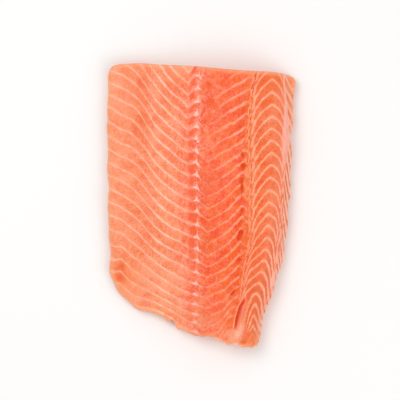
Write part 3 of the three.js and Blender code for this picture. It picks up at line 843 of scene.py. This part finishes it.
def fat_sheet_group():
    """Where the fat sheets meet the surface, and how the flesh pales towards them."""
    shading, given, out = new_group(
        "Fat sheets", [("Sheet Count", 0), ("Spacing", 10), ("Half Width", 0.6), ("Waver", 1.2)],
        ["Line", "Glow", "Share"])
    count, spacing, half_width, waver = given
    waver = (shading.noise(2.4) - 0.5) * waver
    share = (count + waver / spacing).past_whole()
    distance = share.or_less(1 - share) * spacing
    half_width = half_width * shading.noise(4.5, 2.0).eases(0.3, 0.7, 0.55, 1.45)
    glow = distance.slides(0, spacing * 0.34, 1, 0)
    shading.feed(out["Line"], distance.falls(half_width - 0.4, half_width + 0.4))
    shading.feed(out["Glow"], glow * glow)
    shading.feed(out["Share"], share)
    return shading.tree


def grain_group():
    """Fine muscle fibres that run along the fillet, a fine speckle and soft clouds."""
    shading, (fibre_size, speckle_size), out = new_group(
        "Muscle grain", [("Fibre Size", 1.1), ("Speckle Size", 1.3)], ["Fibre", "Speckle", "Cloud"])
    fibre = shading.noise(fibre_size, places=shading.places((1, 0.16, 0.3), 0.12))
    speckle = shading.noise(speckle_size, 3.0, 0.65)
    shading.feed(out["Fibre"], fibre.slides(0.3, 0.7))
    shading.feed(out["Speckle"], speckle.slides(0.33, 0.67))
    shading.feed(out["Cloud"], shading.noise(14, 2.0, 0.5).rises(0.3, 0.7))
    return shading.tree


def marbling_group():
    """Fine pale veins of fat in a broken net."""
    shading, (cell, vein), out = new_group("Marbling", [("Cell", 4.2), ("Vein", 0.16)], ["Veins"])
    warp = shading.noise(2.8, 3.0, 0.5, output="Color")
    shifted = shading.made("ShaderNodeVectorMath", {0: warp, 1: (5, 5, 5), 2: shading.places()},
                           operation="MULTIPLY_ADD")
    from_wall = shading.made("ShaderNodeTexVoronoi", {"Vector": shifted, "Scale": 1 / cell}, "Distance",
                             feature="DISTANCE_TO_EDGE")
    shading.feed(out["Veins"], from_wall.falls(0, vein) * shading.noise(5, 2.0, 0.5).rises(0.38, 0.6))
    return shading.tree


class Flesh(Shading):
    """Raw salmon flesh, moist and translucent. Each step paints over what the steps before it left.

    Here across runs from 0 at the belly edge to 1 at the back edge, and along is in millimetres.
    """

    def __init__(self, tree, groups):
        super().__init__(tree)
        self.sheets, grain, marbling = groups
        self.across = self.field("place_across") / LAST_PLACE
        self.along = self.field("place_along")
        self.aside = self.field("from_midline")
        self.wall = self.field("down_wall")
        self.low_belly = self.field("low_belly")
        self.shown = self.field("line_cover")
        self.ochre = self.field("ochre")
        self.fat_tone = self.by_place(FAT)
        self.fibre, self.speckle, self.cloud = self.group(grain)
        self.veins = self.group(marbling)[0]
        self.fine_veins = self.group(marbling, cell=2.4, vein=0.22)[0]
        self.blotch = self.noise(3.4, warp=0.6).slides(0.34, 0.66)
        self.wander = self.noise(4) - 0.5

    def by_place(self, stops):
        """A tone or a number that runs evenly between stops across the fillet."""
        node = self.add("ShaderNodeValToRGB", {0: self.across})
        node.color_ramp.interpolation = "LINEAR"
        elements = node.color_ramp.elements
        while len(elements) < len(stops):
            elements.new(0.5)
        for element, (place, level) in zip(elements, stops):
            element.position = place / LAST_PLACE
            element.color = colour(*level) if isinstance(level, tuple) else (level, level, level, 1)
        return Value(self, node.outputs[0])

    def paint(self, share, tone):
        self.flesh = self.mix(share, self.flesh, tone)

    def meet_sheets(self, half_width, waver):
        """The line, the glow and the share of the way to the next sheet."""
        return self.group(self.sheets, sheet_count=self.field("sheet_count"),
                          spacing=self.field("sheet_spacing"), half_width=half_width, waver=waver)

    def find_sheets(self):
        """How wide and how strong the fat lines are, and where they run."""
        across, along, wall = self.across, self.along, self.wall
        upper_loin = across.within(0.19, 0.24, 0.33, 0.36) * along.rises(20, 60) * 0.12
        self.legs = across.rises(0.68, 0.75) * along.falls(-40, 10)
        half_width = self.by_place(LINE_HALF_WIDTH) + (upper_loin + self.legs * 0.2)
        half_width = half_width * wall.eases(0, 1, 1, 0.75)
        lumpy = across.eases(0.15, 0.19, 1.2, 2).or_less(across.eases(0.3, 0.36, 2, 1.2))
        line, self.glow, self.share = self.meet_sheets(half_width, lumpy)
        strength = self.by_place(LINE_STRENGTH).or_more(self.legs * 0.74)
        self.full_lines = line * (strength * wall.eases(0, 1, 1, 0.7))

    def paint_muscle(self):
        """Clouds, fibres and speckle between a deep tone and a pale one, then patches and veins."""
        across, along, share = self.across, self.along, self.share
        mottle_and_flake_shade = self.cloud * 0.22 + self.speckle * 0.38
        # On the low belly each flake is paler just below its fat line and darker towards the next: painted
        # shading of the overlapping flakes, added to the random mottle.
        mottle_and_flake_shade = mottle_and_flake_shade + self.low_belly * share.slides(0, 1, 0.34, -0.04) + self.fibre * 0.2
        mottle_and_flake_shade = mottle_and_flake_shade + (self.fibre - 0.5) * self.low_belly * 0.1 + self.blotch * 0.2
        spread = across.eases(0.06, 0.14, 0.2, 0.18) + self.low_belly * 0.04
        pale = mottle_and_flake_shade.slides(0.5 - spread, spread + 0.5)
        self.flesh = self.mix(pale, self.by_place(DEEP_MUSCLE), self.by_place(PALE_MUSCLE))
        # Darker orange-brown between the fat lines of the chevron legs, the fringe and the low back: partly
        # the flesh's own deeper tone, partly painted shade in the valleys between the raised lines.
        low_back = across.rises(0.54, 0.6) * along.falls(-85, -50)
        thin_edge = across.rises(0.8, 0.86) * along.eases(40, 100, 1, 0.2)
        gap_tone_and_shade = low_back.or_more(thin_edge).or_more(self.legs)
        self.paint(gap_tone_and_shade * share.within(0.1, 0.35, 0.7, 0.92) * 0.6, "gap_tone_and_shade")
        self.paint(self.wall * 0.75, self.mix(mottle_and_flake_shade, "deep_wall", "pale_wall"))
        self.paint(self.ochre * self.blotch.eases(0, 1, 1, 0.5), "ochre")
        self.paint(self.field("blush") * 0.9, "blush")
        rim = self.field("from_edge").eases(0.3, 5.5, 0.62, 0) * self.low_belly.eases(0, 1, 1, 1.3)
        self.paint(rim * self.wall.falls(0, 0.75), "rim")
        self.paint(self.veins * self.by_place(MARBLE_STRENGTH), self.fat_tone)
        flecked = across.within(0.168, 0.178, 0.21, 0.27) * along.eases(20, 60, 0.1, 0.45)
        self.paint(self.fine_veins * flecked, "fleck")

    def paint_sheets(self):
        """The fat sheets, with the flesh paler towards them and crumbs of fat beside the midline's."""
        across, along, shown = self.across, self.along, self.shown
        self.paint(self.glow * self.by_place(GLOW_STRENGTH) * shown, self.fat_tone)
        crumbs = self.glow * across.within(0.175, 0.19, 0.34, 0.37) * shown
        self.paint(crumbs * self.noise(1.5).rises(0.52, 0.64) * 0.5, "crumb")
        least = across.eases(0.13, 0.155, 0, -0.35) + 0.65 - self.low_belly * 0.3
        least = least.or_more(across.eases(0.28, 0.36, 0, 0.65))
        broken = self.noise(5).eases(0.32, 0.56, least, 1)
        self.strip = across.within(0.36, 0.39, 0.49, 0.51) * along.eases(55, 85, 1, 0.6)
        weaker = across.within(0.24, 0.3, 0.7, 0.76) * along.eases(30, 70, 0.16, 0) + self.strip * 0.3
        rungs = across.within(0.1475, 0.152, 0.161, 0.165) * along.eases(20, 60, 0.2, 0.65)
        self.lines = self.full_lines * broken * shown * (1 - weaker.or_more(rungs))
        self.paint(self.lines, self.fat_tone)

    def paint_chevrons(self):
        """The flesh is paler below each chevron's tip, and on the shoulders of the lower ones."""
        across, along, share = self.across, self.along, self.share
        under_tip = abs(across - 0.672).falls(0, 0.07) * share.falls(0.02, 0.32) * self.shown
        self.paint(under_tip * along.eases(-60, 0, 0.3, 0.42), "under_tip")
        shoulder = abs(across - 0.69).falls(0, 0.04) * share.rises(0.62, 0.92) * along.falls(-50, 0)
        self.paint(shoulder * self.shown * 0.45, "shoulder")

    def paint_midline(self):
        """Saturated cells between the rungs, knots of fat on the midline, and thin threads along it."""
        along, aside = self.along, self.aside
        rosy = abs(aside + 2).falls(4, 10) * (self.speckle * 0.2 + self.fine_veins)
        self.paint(rosy * along.eases(35, 70, 0.2, 0.52), "rosy")
        cells = self.share.within(0.1, 0.3, 0.62, 0.85) * abs(aside + 5).falls(1, 3.8)
        self.paint(cells * along.rises(-60, -10) * self.blotch.eases(0, 1, 1, 0.6), "cell")
        fading = along.slides(-95, -25, 0.5, 1)
        knot_zone = abs(aside + 0.5).falls(0, 3.8)
        ragged = self.noise(1.7).eases(0.35, 0.65, 0.1, 1) * knot_zone.slides(0, 0.8, 0.4, 1.8)
        knots, _, share = self.meet_sheets(ragged, 1.6)
        self.paint(knots * knot_zone.rises(0, 0.4) * fading * 0.95, "knot")
        thread_width = share.eases(0.5, 1, 0.35, 1.2)
        thread = abs(aside + self.wander * 2.4).falls(thread_width * 0.3, thread_width)
        self.paint(thread * share.eases(0.35, 0.9, 0.15, 0.75) * fading, "thread")
        beside = abs(aside + 9.3 + self.wander * 4).falls(0.2, 1.3)
        self.paint(beside * self.glow * fading * 0.6, "side_thread")

    def paint_strip(self):
        """The strip between the pin bones and the seam is torn into small strands."""
        strand = self.noise(2.3, 3.0, 0.65, 0.6, self.places((1, 0.45, 1), 0.5))
        self.paint(self.strip * strand.rises(0.53, 0.66) * 0.5, "strand")
        self.paint(self.strip * strand.falls(0.38, 0.48) * 0.6, "strand_gap")

    def paint_seam(self):
        """Between loin and back: a broken thread of fat that jogs at each sheet, and small gaps painted
        dark as shade.
        """
        along = self.along
        jog = (self.field("seam_count").past_whole() - 0.5) * along.eases(-70, -40, 0.4, 2)
        seam_place = self.field("from_seam") + jog + self.wander * 3.5
        width = self.noise(2.6, 2.0, places=self.places((1, 0.5, 1))).eases(0.35, 0.65, 0.4, 0.95)
        above_slit = along.rises(-86, -82)
        seam = abs(seam_place).falls(width * 0.3, width) * above_slit
        self.paint(seam * along.eases(10, 50, 0.55, 0.85), "seam")
        # Painted shade: small gaps right of the seam thread are painted dark, besides sinking a little in
        # the relief.
        gaps = abs(seam_place - 1.2).falls(0.2, 1) * self.share.rises(0.3, 0.5)
        self.gaps = gaps * self.noise(3, 2.0, 0.5, places=self.places((1, 0.4, 1))).rises(0.42, 0.56)
        self.paint(self.gaps * above_slit * along.eases(20, 60, 0.55, 0.85), "seam_gap_shade")

    def paint_band(self):
        """The band of fat along the back, and the slots between the strands beyond it, painted dark as
        shade.
        """
        along = self.along
        band_edge = self.field("band_share") + self.wander * 0.9
        stringy = along.eases(10, 60, 1, 0.12) * (1 - along.within(-76, -73, -62, -58))
        strings = self.made("ShaderNodeCombineXYZ", {0: self.field("from_back"), 1: along * 0.13})
        streak = self.noise(1.4, 2.0, places=strings).rises(0.46, 0.54) * stringy
        band_tone = self.mix(streak, self.mix(stringy, "band", "stringy_band"), "streak")
        self.paint(band_edge.falls(0.75, 1.15) * 0.92, band_tone)
        # Painted shade: the slots between the strands of the fringe are painted dark, besides sinking in
        # the relief.
        shaded_slot = self.across.rises(0.855, 0.885) * self.share.within(0.25, 0.4, 0.55, 0.7)
        shaded_slot = shaded_slot * band_edge.rises(0.9, 1.3) * self.noise(4, 2.0).rises(0.36, 0.46)
        self.shaded_slot = shaded_slot * along.falls(103, 108) * along.eases(30, 60, 1, 0.6) * self.wall.falls(0, 0.6)
        self.paint(self.shaded_slot * 0.8, "shaded_slot")

    def paint_torn_end(self):
        """Pale torn membrane, and the pale frill of the collar end."""
        pallor = self.field("pallor")
        torn = (self.speckle + pallor).eases(0.5, 1.5, 0.2, 1.15)
        self.paint(torn * pallor * self.wall.eases(0.2, 0.8, 1, 0.3), "membrane")
        frill = self.field("from_edge").falls(0.4, 2.8) * self.aside.within(14, 18, 41, 45)
        frill = frill * self.along.falls(-112, -108) * self.speckle.eases(0, 1, 0.6, 1)
        self.paint(frill * self.wall.falls(0, 0.4) * self.noise(3, 2.0).rises(0.34, 0.52), "frill")

    def paint_openings(self):
        """Deep red flesh in the holes and in the slit, and the slit's paler banks and lip."""
        along = self.along
        hole_tone = self.mix(along.rises(-12, 8), "low_hole", "high_hole")
        hole_tone = self.mix(self.ochre.or_more(along.falls(-112, -104)), hole_tone, "ochre_hole")
        self.paint((self.field("hole") + self.wander * 0.8).rises(0.5, 1.2), hole_tone)
        slit = self.field("slit")
        from_lip = self.field("from_lip")
        self.paint(slit.rises(0.2, 1.2) * 0.9, "slit_bank")
        deep_reach = along.eases(-91, -86, 3.2, 6)
        self.paint(slit.rises(0.4, 2) * from_lip.falls(deep_reach * 0.1, deep_reach), "slit_floor")
        beside_slit = along.within(-112, -109, -87, -83)
        far_bank = beside_slit * from_lip.within(4.6, 6, 7.5, 9)
        self.paint(far_bank * self.speckle.eases(0, 1, 0.4, 0.9), "far_bank")
        self.paint(abs(from_lip + 1.8).falls(0.2, 0.9) * beside_slit * 0.6, "seam")

    def finish(self):
        """The moist surface over the painted flesh, with a slight relief."""
        height = self.lines * 0.4 + self.fibre * 0.15 + self.speckle * 0.2
        height = height - self.shaded_slot * 0.5 - self.gaps * 0.2
        bump = self.made("ShaderNodeBump", {"Strength": 0.7, "Distance": 0.45 * MM, "Height": height})
        surface = self.made("ShaderNodeBsdfPrincipled", {
            "Base Color": self.flesh,
            "Roughness": self.speckle.eases(0, 1, 0.34, 0.48),
            "Subsurface Weight": 0.25,
            "Subsurface Radius": (1.0, 0.35, 0.2),
            "Subsurface Scale": 1.6 * MM,
            "Specular IOR Level": 0.22,
            "Coat Weight": 0.1,
            "Coat Roughness": 0.18,
            "Normal": bump,
        }, subsurface_method="RANDOM_WALK")
        self.add("ShaderNodeOutputMaterial", {"Surface": surface})


def flesh_material(name, groups):
    material = bpy.data.materials.new(name)
    material.use_nodes = True
    material.node_tree.nodes.clear()
    flesh = Flesh(material.node_tree, groups)
    flesh.find_sheets()
    flesh.paint_muscle()
    flesh.paint_sheets()
    flesh.paint_chevrons()
    flesh.paint_midline()
    flesh.paint_strip()
    flesh.paint_seam()
    flesh.paint_band()
    flesh.paint_torn_end()
    flesh.paint_openings()
    flesh.finish()
    return material


def make_floor():
    """A plain pale floor, wide enough to fill every view."""
    reach = 6.0
    mesh = bpy.data.meshes.new("floor")
    corners = [(-reach, -reach, 0), (reach, -reach, 0), (reach, reach, 0), (-reach, reach, 0)]
    mesh.from_pydata(corners, [], [(0, 1, 2, 3)])
    floor = add_object("floor", mesh)
    material = bpy.data.materials.new("pale_floor")
    material.use_nodes = True
    surface = material.node_tree.nodes["Principled BSDF"]
    surface.inputs["Base Color"].default_value = (0.88, 0.875, 0.87, 1)
    surface.inputs["Roughness"].default_value = 0.6
    surface.inputs["Specular IOR Level"].default_value = 0.2
    mesh.materials.append(material)


def add_softbox(name, place, width, power):
    """A square light at a place in metres, turned towards the middle of the fillet."""
    light = bpy.data.lights.new(name, "AREA")
    light.shape = "SQUARE"
    light.size = width
    light.energy = power
    lamp = add_object(name, light)
    direction = -np.array(place)
    lamp.location = place
    lamp.rotation_mode = "QUATERNION"
    lamp.rotation_quaternion = Vector(direction).to_track_quat("-Z", "Y")


def make_lights():
    add_softbox("window_light", (-0.65, 0.5, 1.5), 0.9, 9.8)
    add_softbox("fill_light", (1.0, -0.7, 1.2), 1.2, 7.8)
    world = bpy.data.worlds.new("studio")
    world.use_nodes = True
    background = world.node_tree.nodes["Background"]
    background.inputs["Color"].default_value = (1, 0.995, 0.985, 1)
    background.inputs["Strength"].default_value = 0.7
    bpy.context.scene.world = world
    bpy.context.scene.view_settings.view_transform = "Standard"


def make_camera():
    """Straight above the fillet, with the photograph's framing: 360 mm across at the flesh's height."""
    distance = 2.6
    framed = 0.360
    flesh_height = 0.020
    camera_data = bpy.data.cameras.new("overhead_camera")
    camera_data.sensor_width = 36
    camera_data.lens = 36 * (distance - flesh_height) / framed
    camera = add_object("overhead_camera", camera_data)
    camera.location = (-0.0009, 0.00475, distance)
    bpy.context.scene.camera = camera


fillet = make_fillet()
groups = (fat_sheet_group(), grain_group(), marbling_group())
fillet.data.materials.append(flesh_material("cut_flesh", groups))
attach(fillet, "root")
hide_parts("salmon_fillet")
make_floor()
make_lights()
make_camera()
